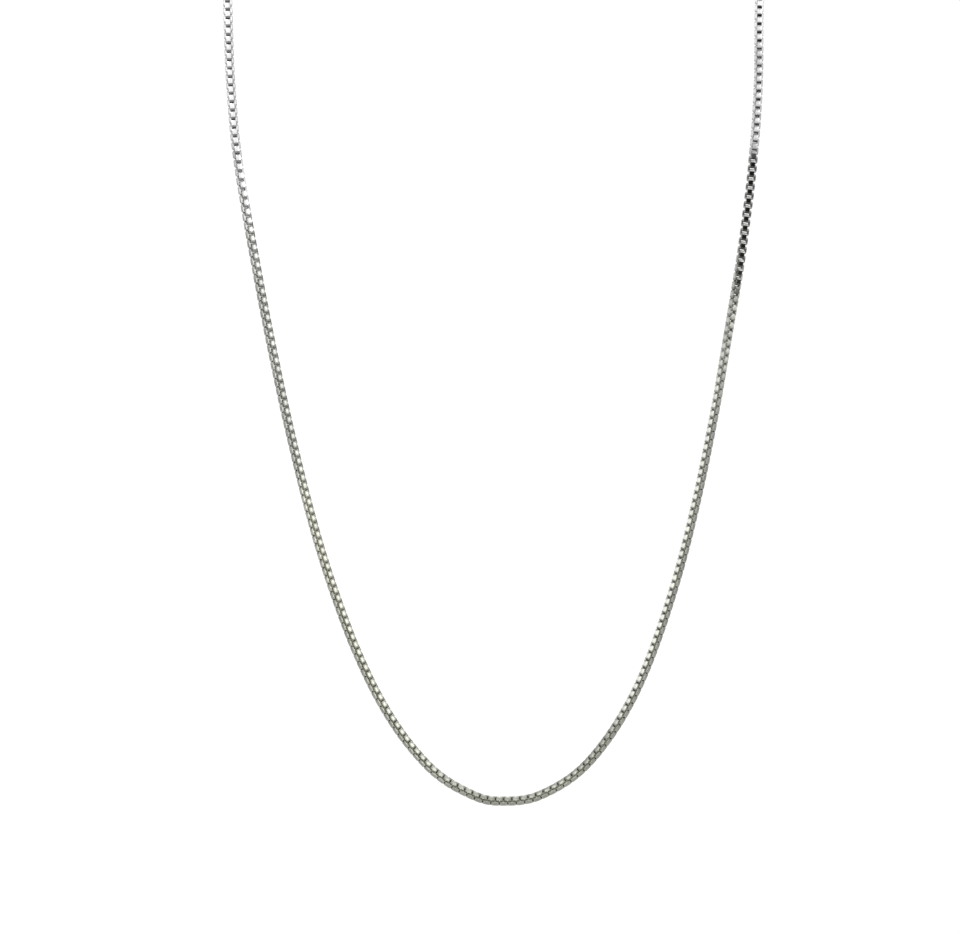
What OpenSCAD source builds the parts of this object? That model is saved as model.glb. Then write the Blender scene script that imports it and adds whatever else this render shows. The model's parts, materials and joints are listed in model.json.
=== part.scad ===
// Fine round box chain, worn as a necklace: one whole loop that hangs down in front
// and closes at the nape with a plain barrel clasp.
// Sizes are in millimetres. +Z is up and the front of the loop hangs towards -Y.
// The origin is on the front of the barrel, where the loop bears on the neck.
// Left is -X, the left of the loop as it is seen from the front.

/* [Loop] */
// Widest part of the loop, at the sides of the neck, between centrelines
loop_width = 114; // [100:1:140]
// From the nape to the front of the loop, between centrelines
loop_depth = 65.5; // [55:0.5:90]
// From the nape down to the lowest point, between centrelines
loop_drop = 195; // [150:1:260]

/* [Chain] */
// Across the round chain, over its domed faces
chain_d = 2; // [1.8:0.1:2.6]
// Thickness of a box link's side walls, at the crown of their domes
wall_thickness = 0.48; // [0.4:0.02:0.5]
// Thickness of the bars that join the walls at both ends of a link
bar_thickness = 0.33; // [0.3:0.01:0.4]
// Width of a link's walls and bars, which pass through the next link's opening
strip_width = 0.92; // [0.8:0.02:0.96]
// Bend radius inside the corners of a link
link_bend = 0.15; // [0.05:0.05:0.25]

/* [Jump rings] */
// Outer diameter of a jump ring
jump_ring_d = 4; // [3.8:0.1:6]
// Wire of a jump ring
jump_wire = 0.7; // [0.5:0.05:0.8]

/* [Clasp] */
// Diameter of the barrel
barrel_d = 4; // [3.6:0.1:6]
// Length of the barrel between its end faces
barrel_length = 9; // [7:0.5:14]
// Rounding at the rims of the barrel
barrel_round = 0.9; // [0.3:0.1:1.2]
// Hole through the eye at each end of the barrel
eye_hole = 1.4; // [1.3:0.1:2]
// Wire of the eyes
eye_wire = 0.8; // [0.6:0.05:0.9]
// How much of an eye's wire stands out of the barrel beside the hole
eye_standoff = 0.2; // [0.1:0.05:0.3]

/* [Fits] */
// Free gap where one piece holds another
clearance = 0.15; // [0.1:0.01:0.2]

/* [Hidden] */

// Facets of every round, which are true arcs
$fn = 48;
silver = [0.80, 0.80, 0.76];
bright_silver = [0.86, 0.86, 0.83];

// The loop's centreline runs behind the seat by half the barrel
seat_y = barrel_d / 2;

// Places along X from the middle of the clasp, outwards
eye_x = barrel_length / 2 + eye_standoff + eye_hole / 2;
jump_inner_r = jump_ring_d / 2 - jump_wire;
jump_x = eye_x + eye_hole / 2 - clearance + jump_inner_r;
// How far the round ring falls back across the depth of the end link's bar
ring_sag = jump_inner_r - sqrt(pow(jump_inner_r, 2) - pow(strip_width / 2, 2));
end_link_x = jump_x + jump_inner_r - ring_sag - clearance - bar_thickness;
// The end link holds the ring's wire and the bar of the chain's last link, with a gap
// before, between and behind them
end_link_gaps = 3 * clearance;
end_link_opening = jump_wire + ring_sag + bar_thickness + end_link_gaps;
end_link_length = end_link_opening + 2 * bar_thickness;
chain_end_x = end_link_x + end_link_length + clearance;

// Route of the chain, as shares of half the width, of the depth and of the drop
// across, forward, down
ROUTE = [
    // left side of the nape, the neck and the shoulder
    [-0.42, 0.055, 0],
    [-0.71, 0.18, 0],
    [-0.90, 0.36, 0],
    [-0.99, 0.58, 0],
    [-1.00, 0.79, 0.01],
    [-1.00, 0.945, 0.06],
    [-0.99, 1, 0.14],
    // left strand
    [-0.975, 1, 0.23],
    [-0.93, 1, 0.35],
    [-0.83, 1, 0.505],
    [-0.70, 1, 0.67],
    [-0.585, 1, 0.78],
    [-0.425, 1, 0.89],
    // round the lowest point
    [-0.25, 1, 0.96],
    [-0.08, 1, 0.993],
    [0.04, 1, 1],
    [0.18, 1, 0.992],
    [0.35, 1, 0.957],
    // right strand
    [0.515, 1, 0.886],
    [0.645, 1, 0.79],
    [0.755, 1, 0.67],
    [0.86, 1, 0.505],
    [0.945, 1, 0.35],
    [0.977, 1, 0.23],
    // right side of the shoulder, the neck and the nape
    [0.985, 1, 0.14],
    [1.00, 0.945, 0.06],
    [1.00, 0.79, 0.01],
    [0.99, 0.58, 0],
    [0.90, 0.36, 0],
    [0.71, 0.18, 0],
    [0.42, 0.055, 0]
];
across = 0;
forward = 1;
down = 2;

// Sides of the chain's plain body, which gets a ring for so much length and turn
tube_sides = 8;
ring_step = 16;
ring_turn = 20;

// How far down the drop the point lies that the rings are turned by
centre_share = 0.15;

// How far a cut runs past what it cuts
overshoot = 1;

route_points = concat(
    [[-chain_end_x, seat_y, 0]],
    [for (row = ROUTE) [
        row[across] * loop_width / 2,
        seat_y - row[forward] * loop_depth,
        -row[down] * loop_drop
    ]],
    [[chain_end_x, seat_y, 0]]
);
spans = len(route_points) - 1;

// Inside the loop, so that a line from it to the chain never runs along the chain
loop_centre = [0, seat_y - loop_depth / 2, -loop_drop * centre_share];

function unit(v) = v / norm(v);

// A point of the route, or past either end one that makes the chain leave the clasp squarely
function route_point(i) =
    i < 0 ? [0, route_points[1].y, route_points[1].z]
    : i > spans ? [0, route_points[spans - 1].y, route_points[spans - 1].z]
    : route_points[i];

// Weights of the cubic through span i and the points either side of it
function cubic(i) = let (
    a = route_point(i - 1),
    b = route_point(i),
    c = route_point(i + 1),
    d = route_point(i + 2)
) [b, (c - a) / 2, a - 2.5 * b + 2 * c - d / 2, (3 * (b - c) + d - a) / 2];

// Smooth curve through the route's points, at a share u of the way along span i
function curve(i, u) = let (w = cubic(i)) w[0] + w[1] * u + w[2] * pow(u, 2) + w[3] * pow(u, 3);

// Direction of that curve
function heading(i, u) = let (w = cubic(i)) unit(w[1] + 2 * w[2] * u + 3 * w[3] * pow(u, 2));

// One ring of points about the centreline, square to it
function ring(i, u, r) = let (
    centre = curve(i, u),
    along = heading(i, u),
    side = unit(cross(along, centre - loop_centre)),
    out = cross(side, along)
) [for (k = [0:tube_sides - 1]) centre + r * (cos(360 * k / tube_sides) * side + sin(360 * k / tube_sides) * out)];

function rings_in_span(i) = let (
    length = norm(route_points[i + 1] - route_points[i]),
    turn = acos(min(heading(i, 0) * heading(i, 1), 1))
) ceil(length / ring_step + turn / ring_turn);

// Body of the chain from end link to end link, as one plain tube along the route
module chain() {
    rings = [
        for (i = [0:spans - 1]) for (k = [0:rings_in_span(i) - 1]) ring(i, k / rings_in_span(i), chain_d / 2),
        ring(spans - 1, 1, chain_d / 2)
    ];
    last = len(rings) - 1;
    sides = tube_sides;
    color(silver)
        polyhedron(
            points = [for (r = rings) each r],
            faces = concat(
                [[for (k = [sides - 1:-1:0]) k]],
                [[for (k = [0:sides - 1]) last * sides + k]],
                [for (i = [0:last - 1]) for (k = [0:sides - 1]) let (next = (k + 1) % sides)
                    [i * sides + k, i * sides + next, (i + 1) * sides + next, (i + 1) * sides + k]]
            )
        );
}

// Flat plate with round corners, centred, in the XY plane
module rounded_plate(length, width, corner, height) {
    linear_extrude(height, center = true) {
        square([length - 2 * corner, width], center = true);
        square([length, width - 2 * corner], center = true);
        for (x = [-1, 1], y = [-1, 1])
            translate([x * (length / 2 - corner), y * (width / 2 - corner)])
                circle(corner);
    }
}

// Box link bent from strip, with its length along X and its opening along Y,
// turned down to the round of the chain
module box_link(length) {
    opening = length - 2 * bar_thickness;
    opening_width = chain_d - 2 * wall_thickness;
    difference() {
        intersection() {
            rotate([90, 0, 0])
                rounded_plate(length, chain_d, link_bend + bar_thickness, strip_width);
            rotate([0, 90, 0])
                cylinder(h = length + overshoot, d = chain_d, center = true);
        }
        rotate([90, 0, 0])
            rounded_plate(opening, opening_width, link_bend, strip_width + overshoot);
    }
}

// Long link that ends the chain on the right and holds the jump ring
module end_link() {
    color(silver)
        translate([end_link_x + end_link_length / 2, seat_y, 0])
            box_link(end_link_length);
}

// Ring of round wire lying flat, which joins the right eye to the right end link
module jump_ring() {
    color(bright_silver)
        translate([jump_x, seat_y, 0])
            rotate_extrude()
                translate([(jump_ring_d - jump_wire) / 2, 0])
                    circle(d = jump_wire);
}

// Half section of the barrel, with its length along Y and its rims rounded
module barrel_section() {
    square([barrel_d / 2 - barrel_round, barrel_length]);
    translate([0, barrel_round])
        square([barrel_d / 2, barrel_length - 2 * barrel_round]);
    for (y = [barrel_round, barrel_length - barrel_round])
        intersection() {
            translate([barrel_d / 2 - barrel_round, y])
                circle(barrel_round);
            square([barrel_d / 2, barrel_length]);
        }
}

// Barrel across the nape, with an eye soldered to each end, all one piece
module clasp() {
    color(bright_silver)
        translate([0, seat_y, 0]) {
            translate([-barrel_length / 2, 0, 0])
                rotate([0, 90, 0])
                    rotate_extrude()
                        barrel_section();
            for (side = [-1, 1])
                translate([side * eye_x, 0, 0])
                    rotate([90, 0, 0])
                        rotate_extrude()
                            translate([(eye_hole + eye_wire) / 2, 0])
                                circle(d = eye_wire);
        }
}

chain();
mirror([1, 0, 0]) end_link();  // end_link_left
end_link();  // end_link_right
mirror([1, 0, 0]) jump_ring();  // jump_ring_left
jump_ring();  // jump_ring_right
clasp();
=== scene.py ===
"""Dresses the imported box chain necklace: its links, its silver, its floor, light and camera.

The necklace is one loop of about 650 interlocking box links that hangs from the nape, where
two long end links, two jump rings and a plain barrel clasp close it. The links are modelled
here, one link first and then the whole run as one joined mesh, which stands for the plain
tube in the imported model. The end links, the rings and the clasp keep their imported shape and
get their silver here. All sizes are in metres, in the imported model's frame.
"""

import json
import logging
import math
from dataclasses import dataclass, field, fields
from enum import Enum

import bpy
import numpy as np
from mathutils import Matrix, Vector

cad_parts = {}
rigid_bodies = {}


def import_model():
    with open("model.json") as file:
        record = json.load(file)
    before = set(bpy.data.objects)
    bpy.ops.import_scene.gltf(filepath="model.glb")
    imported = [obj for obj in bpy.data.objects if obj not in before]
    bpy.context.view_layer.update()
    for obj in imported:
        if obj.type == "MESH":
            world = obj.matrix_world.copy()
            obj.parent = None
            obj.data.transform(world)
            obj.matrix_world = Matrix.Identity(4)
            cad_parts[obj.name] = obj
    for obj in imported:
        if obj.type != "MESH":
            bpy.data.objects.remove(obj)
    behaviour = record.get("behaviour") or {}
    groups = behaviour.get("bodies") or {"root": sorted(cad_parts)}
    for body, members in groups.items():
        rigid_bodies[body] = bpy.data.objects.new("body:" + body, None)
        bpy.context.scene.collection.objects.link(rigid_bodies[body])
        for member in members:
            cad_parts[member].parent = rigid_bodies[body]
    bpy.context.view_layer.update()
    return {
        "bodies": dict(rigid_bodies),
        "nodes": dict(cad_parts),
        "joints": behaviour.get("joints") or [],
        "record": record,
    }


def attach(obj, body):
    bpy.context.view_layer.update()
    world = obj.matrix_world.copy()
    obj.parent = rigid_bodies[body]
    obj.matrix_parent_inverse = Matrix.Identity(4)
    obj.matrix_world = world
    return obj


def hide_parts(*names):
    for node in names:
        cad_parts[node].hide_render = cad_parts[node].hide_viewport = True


LOG = logging.getLogger("box_chain")
SMOOTH_BELOW = math.radians(40.0)
UP = np.array([0.0, 0.0, 1.0])
FRONT = np.array([0.0, -1.0, 0.0])
Triple = tuple[float, float, float]
Color = Triple


class Slot(Enum):
    """Material slots of the record that the pieces take their finish from."""

    CHAIN = "chain_silver"
    FITTING = "fitting_silver"


class Part(Enum):
    """Which surface of a box link a face belongs to."""

    OUTSIDE = 0
    STRIP_EDGE = 1
    INSIDE = 2


@dataclass(frozen=True)
class Run:
    """Value that changes along the chain.

    Args:
        stations: pairs of a place and the value there. A place is a share of the way along
            the front of the chain, from 0 at the left strand's top to 1 at the right
            strand's. Below 0 and above 1 it is on the stretch round the neck.
    """

    stations: tuple[tuple[float, float], ...]

    def at(self, share: np.ndarray) -> np.ndarray:
        """Reads the value at many places, held level past the first and last stations."""
        return np.interp(share, [s[0] for s in self.stations], [s[1] for s in self.stations])


def ease(low: float, high: float, value: np.ndarray) -> np.ndarray:
    """Eases from 0 at low to 1 at high."""
    t = np.clip((value - low) / (high - low), 0.0, 1.0)
    return t * t * (3.0 - 2.0 * t)


def between(first: np.ndarray, last: np.ndarray, amount: np.ndarray) -> np.ndarray:
    """Goes from the first values towards the last by an amount from 0 to 1."""
    return first + (last - first) * amount


def dot(a: np.ndarray, b: np.ndarray) -> np.ndarray:
    """Gives the dot product of each row of a with the same row of b."""
    return np.sum(a * b, axis=1)


def unit(rows: np.ndarray) -> np.ndarray:
    """Scales each row to length 1."""
    return rows / np.linalg.norm(rows, axis=1)[:, None]


def rgba(color: Color) -> tuple[float, float, float, float]:
    """Adds a full alpha to a colour."""
    return (*color, 1.0)


def deselect() -> None:
    """Leaves nothing selected, so that an operator acts on the new primitive alone."""
    if bpy.context.object and bpy.context.object.mode != "OBJECT":
        bpy.ops.object.mode_set(mode="OBJECT")
    bpy.ops.object.select_all(action="DESELECT")


@dataclass(frozen=True)
class LoopSizes:
    """Sizes of the whole loop, between centrelines.

    Args:
        width: width of the loop.
        depth: from the nape to the front.
        drop: from the nape down to the lowest point.
        seat: how far behind the origin the chain lies at the nape.
        chain_start: how far to either side of the clasp the curve of the chain begins.
        end_link_hold: how far to either side an end link holds the chain.
        seen_from: height of the tops of the two strands, where the front of the chain
            begins and ends.
    """

    width: float = 0.114
    depth: float = 0.0655
    drop: float = 0.195
    seat: float = 0.002
    chain_start: float = 0.01036
    end_link_hold: float = 0.00988
    seen_from: float = -0.0455


@dataclass(frozen=True)
class LinkSizes:
    """Sizes of one box link, bent from strip and turned down to the round of the chain.

    Args:
        across: thickness of the chain, over both walls of a link.
        wall: thickness of a wall.
        bar: thickness of a bar, which joins the walls at either end.
        strip: width of the strip.
        bend: radius inside the corners.
        pitch: length of the opening, and from link to link where the chain is taut.
        dome_line: how far from the middle of the strip its outside is cut, to dome it by.
        corner_steps: facets round each corner.
    """

    across: float = 0.002
    wall: float = 0.00048
    bar: float = 0.00038
    strip: float = 0.00092
    bend: float = 0.0001
    pitch: float = 0.000967
    dome_line: float = 0.0002
    corner_steps: int = 3

    @property
    def length(self) -> float:
        """Length of a link over its bars, whose openings hold the next links' bars."""
        return self.pitch + 2.0 * self.bar

    @property
    def corner(self) -> float:
        """Radius outside the corners."""
        return self.bend + self.bar

    @property
    def opening(self) -> tuple[float, float]:
        """Length and width of the opening."""
        return self.pitch, self.across - 2.0 * self.wall


class ChainRoute:
    """Centreline of the chain from end link to end link, with a frame that doesn't twist.

    SHARES holds the places that it passes through, from left to right: how far across as a
    share of half the width, how far forward as a share of the depth, and how far down as a
    share of the drop.
    """

    SHARES: tuple[Triple, ...] = (
        (-0.42, 0.055, 0), (-0.71, 0.18, 0), (-0.90, 0.36, 0), (-0.99, 0.58, 0),
        (-1.00, 0.79, 0.01), (-1.00, 0.945, 0.06), (-0.99, 1, 0.14),
        (-0.975, 1, 0.23), (-0.93, 1, 0.35), (-0.83, 1, 0.505), (-0.70, 1, 0.67),
        (-0.585, 1, 0.78), (-0.425, 1, 0.89),
        (-0.25, 1, 0.96), (-0.08, 1, 0.993), (0.04, 1, 1), (0.18, 1, 0.992), (0.35, 1, 0.957),
        (0.515, 1, 0.886), (0.645, 1, 0.79), (0.755, 1, 0.67), (0.86, 1, 0.505),
        (0.945, 1, 0.35), (0.977, 1, 0.23),
        (0.985, 1, 0.14), (1.00, 0.945, 0.06), (1.00, 0.79, 0.01), (0.99, 0.58, 0),
        (0.90, 0.36, 0), (0.71, 0.18, 0), (0.42, 0.055, 0),
    )

    def __init__(self, sizes: LoopSizes, steps: int = 200) -> None:
        """Traces the route once and keeps its points, lengths and frames.

        Args:
            sizes: sizes of the loop.
            steps: samples along each span of the route.
        """
        self.sizes = sizes
        self.points = self._trace(steps)
        gaps = np.linalg.norm(np.diff(self.points, axis=0), axis=1)
        self.lengths = np.concatenate([[0.0], np.cumsum(gaps)])
        self.headings = unit(np.gradient(self.points, self.lengths, axis=0))
        in_view = np.flatnonzero(self.points[:, 2] < sizes.seen_from)
        self.seen = (in_view[0], in_view[-1])
        self.normals = self._carry_normals()

    @property
    def length(self) -> float:
        """Length from the hold of one end link to that of the other."""
        return float(self.lengths[-1])

    def _knots(self) -> np.ndarray:
        """Lays out the points that the route passes through.

        Returns:
            The points, in rows, with one more past each end to steer the curve by.
        """
        s = self.sizes
        rows = [[x * s.width / 2, s.seat - y * s.depth, -z * s.drop] for x, y, z in self.SHARES]
        rows = [[-s.chain_start, s.seat, 0.0], *rows, [s.chain_start, s.seat, 0.0]]
        before = [0.0, rows[1][1], rows[1][2]]
        after = [0.0, rows[-2][1], rows[-2][2]]
        return np.array([before, *rows, after])

    def _trace(self, steps: int) -> np.ndarray:
        """Follows a smooth curve through the knots, and the straight run into each end link.

        Args:
            steps: samples along each span.

        Returns:
            Points of the route, in rows.
        """
        knots = self._knots()
        u = (np.arange(steps) / steps)[:, None]
        spans = []
        for a, b, c, d in zip(knots, knots[1:], knots[2:], knots[3:]):
            slope = (c - a) / 2
            square = a - 2.5 * b + 2 * c - d / 2
            cube = (3 * (b - c) + d - a) / 2
            spans.append(b + slope * u + square * u**2 + cube * u**3)
        hold = np.array([self.sizes.end_link_hold, self.sizes.seat, 0.0])
        start = hold * np.array([-1.0, 1.0, 1.0])
        return np.concatenate([[start], *spans, [knots[-2]], [hold]])

    def _carry_normals(self) -> np.ndarray:
        """Carries a normal along without twist, then eases it onto the four known ones.

        Returns:
            Unit normals that point up at both end links and to the front where the chain
            is seen.
        """
        normals = np.zeros_like(self.points)
        normal = UP
        for i, heading in enumerate(self.headings):
            normal = normal - heading * normal.dot(heading)
            normal /= np.linalg.norm(normal)
            normals[i] = normal
        first, last = self.seen
        known = [(0, UP), (first, FRONT), (last, FRONT), (len(normals) - 1, UP)]
        places = [self.lengths[i] for i, _ in known]
        errors = [self._angle_to(self.headings[i], normals[i], wanted) for i, wanted in known]
        turn = np.interp(self.lengths, places, np.unwrap(errors))[:, None]
        return normals * np.cos(turn) + np.cross(self.headings, normals) * np.sin(turn)

    @staticmethod
    def _angle_to(heading: np.ndarray, normal: np.ndarray, wanted: np.ndarray) -> float:
        """Measures the turn about the heading that brings a normal to the wanted one."""
        flat = wanted - heading * wanted.dot(heading)
        return math.atan2(np.cross(normal, flat).dot(heading), normal.dot(flat))

    def _read(self, rows: np.ndarray, place: np.ndarray) -> np.ndarray:
        """Reads rows that belong to the route's points at lengths along it."""
        return np.stack([np.interp(place, self.lengths, rows[:, k]) for k in range(3)], axis=1)

    def at(self, place: np.ndarray) -> np.ndarray:
        """Gives points of the centreline at lengths along it."""
        return self._read(self.points, place)

    def normal_at(self, place: np.ndarray) -> np.ndarray:
        """Gives the carried normals at lengths along the centreline."""
        return self._read(self.normals, place)

    def share_at(self, place: np.ndarray) -> np.ndarray:
        """Gives the share of the way along the front of the chain, below 0 and above 1 past it."""
        low, high = self.lengths[self.seen[0]], self.lengths[self.seen[1]]
        return (place - low) / (high - low)


@dataclass(frozen=True)
class LinkFaces:
    """What the level of the silver depends on within a link.

    Each is one row with a value for each face corner.

    Args:
        edge: whether the face is an edge of the strip.
        inside: whether it is a surface within the link.
        bar: whether it is an end face of the link.
        end: towards which end of the link it lies, as -1 or 1.
        wall: towards which wall.
        rim: towards which edge of the strip.
        rounded: whether it is part of a bend.
        bend: how far round a bend the corner is, from 0 on a wall to 1 on a bar.
    """

    edge: np.ndarray
    inside: np.ndarray
    bar: np.ndarray
    end: np.ndarray
    wall: np.ndarray
    rim: np.ndarray
    rounded: np.ndarray
    bend: np.ndarray


@dataclass
class BoxLink:
    """One box link, which the whole chain is copied from.

    It lies with its length along X, its walls at both ends of Y and its strip's width along
    Z. Its walls are domed to the round of the chain.

    Args:
        sizes: its sizes.
        edge_facing: how squarely a face has to look along Z to be an edge of the strip.
        metal_margin: how far past the opening a surface still counts as within the link, as
            a share of the metal's thickness.
        end_from: where the end faces begin, as a share of the link's length from its middle.
        bend_margin: how far round a bend a face has to be, from either side, to be part of
            it.
        tiny: a length that counts as none.
    """

    sizes: LinkSizes = field(default_factory=LinkSizes)
    edge_facing: float = 0.9
    metal_margin: float = 0.25
    end_from: float = 0.495
    bend_margin: float = 0.01
    tiny: float = 1e-7

    def model(self) -> bpy.types.Object:
        """Models the link by hand from a flat plate.

        The plate's corners are rounded, and its middle is inset and taken out. The ring that
        is left is drawn up to the strip's width, and its outside is domed.

        Returns:
            The finished link, at the origin.
        """
        s = self.sizes
        deselect()
        bpy.ops.mesh.primitive_plane_add(size=1.0, location=(0.0, 0.0, -s.strip / 2))
        link = bpy.context.object
        link.name = "pattern_link"
        link.scale = (s.length, s.across, 1.0)
        bpy.ops.object.transform_apply(location=True, rotation=False, scale=True)
        bpy.ops.object.mode_set(mode="EDIT")
        bpy.ops.mesh.select_all(action="SELECT")
        bpy.ops.mesh.bevel(offset=s.corner, segments=s.corner_steps, affect="VERTICES")
        bpy.ops.mesh.select_all(action="SELECT")
        bpy.ops.mesh.inset(thickness=s.bar, use_even_offset=True)
        narrow = s.opening[1] / (s.across - 2.0 * s.bar)
        bpy.ops.transform.resize(value=(1.0, narrow, 1.0), center_override=(0.0, 0.0, 0.0))
        bpy.ops.mesh.delete(type="ONLY_FACE")
        bpy.ops.mesh.select_all(action="SELECT")
        bpy.ops.mesh.extrude_region_move(TRANSFORM_OT_translate={"value": (0.0, 0.0, s.strip)})
        bpy.ops.object.mode_set(mode="OBJECT")
        self._cut_dome_lines(link)
        self._dome_walls(link.data)
        bpy.ops.object.mode_set(mode="EDIT")
        bpy.ops.mesh.select_all(action="SELECT")
        bpy.ops.mesh.normals_make_consistent(inside=False)
        bpy.ops.object.mode_set(mode="OBJECT")
        bpy.ops.object.shade_smooth_by_angle(angle=SMOOTH_BELOW)
        return link

    def _cut_dome_lines(self, link: bpy.types.Object) -> None:
        """Cuts two lines round the outside of the walls and bars, to dome them by.

        Args:
            link: the link.
        """
        for height in (-self.sizes.dome_line, self.sizes.dome_line):
            bpy.ops.object.mode_set(mode="EDIT")
            bpy.ops.mesh.select_all(action="DESELECT")
            bpy.ops.object.mode_set(mode="OBJECT")
            for face in link.data.polygons:
                face.select = self.part_of(face) is Part.OUTSIDE
            bpy.ops.object.mode_set(mode="EDIT")
            bpy.ops.mesh.bisect(plane_co=(0.0, 0.0, height), plane_no=(0.0, 0.0, 1.0))
            bpy.ops.object.mode_set(mode="OBJECT")

    def _dome_walls(self, mesh: bpy.types.Mesh) -> None:
        """Draws whatever stands out of the chain's round in to it.

        Args:
            mesh: mesh of the link.
        """
        radius = self.sizes.across / 2
        for vertex in mesh.vertices:
            reach = math.sqrt(radius**2 - vertex.co.z**2)
            vertex.co.y = max(-reach, min(reach, vertex.co.y))

    def _within(self, point: Vector) -> bool:
        """Tells whether a point is on a surface within the link, and not on its outside.

        Args:
            point: a point on the link.

        Returns:
            Whether it is within.
        """
        s, margin = self.sizes, self.metal_margin
        reach_x = s.opening[0] / 2 + s.bar * margin
        reach_y = s.opening[1] / 2 + s.wall * margin
        return abs(point.x) < reach_x and abs(point.y) < reach_y

    def part_of(self, face: bpy.types.MeshPolygon) -> Part:
        """Tells which surface of the link a face belongs to.

        Args:
            face: the face, whose normal may point either way.

        Returns:
            The part of the link.
        """
        if abs(face.normal.z) > self.edge_facing:
            return Part.STRIP_EDGE
        return Part.INSIDE if self._within(face.center) else Part.OUTSIDE

    def bend_share(self, point: Vector) -> float:
        """Tells how far round a corner a point is.

        Args:
            point: a point on the link.

        Returns:
            A share, from 0 on a wall to 1 on a bar.
        """
        s = self.sizes
        length, width, radius = s.length, s.across, s.corner
        if self._within(point):
            length, width, radius = *s.opening, s.bend
        past_wall = abs(point.x) - (length / 2 - radius)
        past_bar = abs(point.y) - (width / 2 - radius)
        if past_wall <= self.tiny:
            return 0.0
        if past_bar <= self.tiny:
            return 1.0
        return math.atan2(past_wall, past_bar) / (math.pi / 2)

    def read(self, mesh: bpy.types.Mesh) -> LinkFaces:
        """Reads from the finished link what the level of its silver depends on.

        Args:
            mesh: mesh of the link.

        Returns:
            Rows with a value for each face corner.
        """
        faces = [face for face in mesh.polygons for _ in face.vertices]
        parts = [self.part_of(face) for face in faces]
        edge = np.array([part is Part.STRIP_EDGE for part in parts])[None, :]
        inside = np.array([part is Part.INSIDE for part in parts])[None, :]
        middles = np.array([face.center[:] for face in faces]).T[:, None, :]
        end, wall, rim = np.sign(middles)
        at_end = np.abs(middles[0]) > self.sizes.length * self.end_from
        least, most = self.bend_margin, 1.0 - self.bend_margin
        rounded = [least < self.bend_share(face.center) < most for face in faces]
        bend = [self.bend_share(mesh.vertices[v].co) for face in mesh.polygons for v in face.vertices]
        return LinkFaces(
            edge=edge, inside=inside, bar=~edge & ~inside & at_end, end=end, wall=wall, rim=rim,
            rounded=np.array(rounded)[None, :], bend=np.array(bend)[None, :],
        )


@dataclass(frozen=True)
class Hang:
    """How the chain hangs, from left to right.

    Args:
        slack: how far the links have slid together, from 0 to 1.
        turn: how far the chain is turned about itself, in degrees.
        lean: how far each link leans forwards with its right-hand end, in degrees.
        sway: how far the chain strays from its route towards the inside of the loop.
        play: how far two links can slide together.
        wobble: how far a link strays from its place where the chain is slack, in degrees.
        taut_wobble: how much of that is left where it is taut.
        seed: choice of the strays.
    """

    slack: Run = Run((
        (-0.02, 0.83), (0.0, 0.76), (0.03, 0.41), (0.05, 0.0), (0.065, 0.0), (0.09, 0.09),
        (0.127, 0.22), (0.165, 0.41), (0.21, 0.61), (0.25, 0.75), (0.32, 0.86), (0.44, 0.95),
        (0.46, 0.85), (0.54, 0.86), (0.56, 0.98), (0.62, 0.96), (0.7, 0.86), (0.76, 0.74),
        (0.82, 0.59), (0.845, 0.38), (0.875, 0.22), (0.9, 0.05), (0.92, 0.0), (0.955, 0.0),
        (0.965, 0.35), (0.98, 0.65), (1.0, 0.8), (1.05, 0.85), (1.1, 0.72),
    ))
    turn: Run = Run((
        (0.0, 90.0), (0.022, 86.0), (0.04, 77.0), (0.06, 68.0), (0.08, 62.0), (0.1, 58.0),
        (0.14, 55.0), (0.26, 54.0), (0.34, 52.0), (0.46, 51.0), (0.49, 46.0), (0.59, 46.0),
        (0.62, 51.0), (0.81, 51.0), (0.85, 40.0), (0.874, 30.0), (0.89, 18.0), (0.905, 6.0),
        (0.92, 0.0), (0.95, 0.0), (0.97, 10.0), (1.0, 10.0), (1.1, 0.0),
    ))
    lean: Run = Run((
        (0.14, 4.0), (0.24, 0.0), (0.76, 0.0), (0.79, -3.0), (0.83, -3.0), (0.85, 4.0),
    ))
    sway: Run = Run((
        (-0.12, 0.0), (0.0, -0.00020), (0.02, -0.00026), (0.05, -0.00005), (0.067, 0.00013),
        (0.105, 0.00021), (0.14, 0.00012), (0.20, 0.0), (0.30, 0.00003), (0.353, -0.00013),
        (0.40, 0.00008), (0.468, -0.00002), (0.50, 0.00009), (0.545, -0.00012),
        (0.585, -0.00017), (0.65, -0.00005), (0.735, -0.00003), (0.773, -0.00015),
        (0.81, -0.00029), (0.85, -0.00024), (0.89, -0.00023), (0.926, -0.00008),
        (0.964, -0.00020), (0.983, -0.00034), (1.0, -0.00037), (1.12, 0.0),
    ))
    play: float = 0.000096
    wobble: float = 1.2
    taut_wobble: float = 0.3
    seed: int = 7

    def quarters(self, share: float) -> int:
        """Counts the quarter turns that the chain has made at a share of the way."""
        return round(float(self.turn.at(np.array(share))) / 90.0)


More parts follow.
